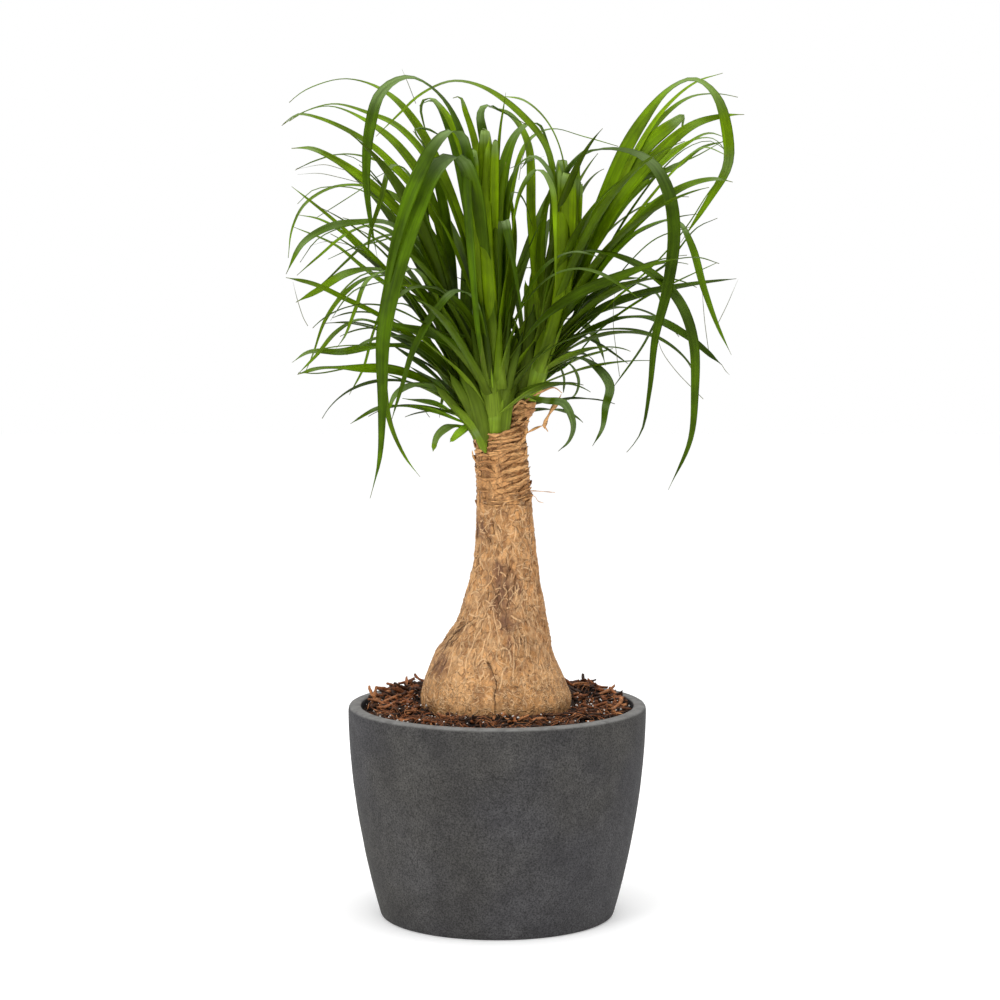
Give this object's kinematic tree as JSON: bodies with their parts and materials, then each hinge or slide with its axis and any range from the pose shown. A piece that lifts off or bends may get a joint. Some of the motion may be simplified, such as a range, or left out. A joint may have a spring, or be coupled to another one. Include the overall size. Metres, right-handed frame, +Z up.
{
  "type": "potted ponytail palm",
  "caption": "Potted ponytail palm with a swollen caudex, a forked neck with heads of arching strap leaves, and a smooth round planter filled with soil.",
  "frame": {"origin": "centre of the planter's flat underside", "axes": "+Z up along the planter's axis, -Y towards the viewer of the front, +X to the viewer's right"},
  "size_m": [0.4319, 0.35, 0.7905],
  "materials": {
    "fibre_cement": "matt dark grey fibre cement with fine pits and a lighter worn rim",
    "potting_soil": "dry crumbly mix of bark, coir shreds and white grit",
    "bark": "tan corky bark with a raised pale net and upright cracks",
    "leaf": "satin green blade with fine parallel veins",
    "leaf_light": "satin yellow green blade with fine parallel veins"
  },
  "bodies": {
    "root": {"pot": "fibre_cement", "soil": "potting_soil", "trunk": "bark", "head_left": "leaf", "head_middle": "leaf_light", "head_right": "leaf"}
  },
  "joints": []
}
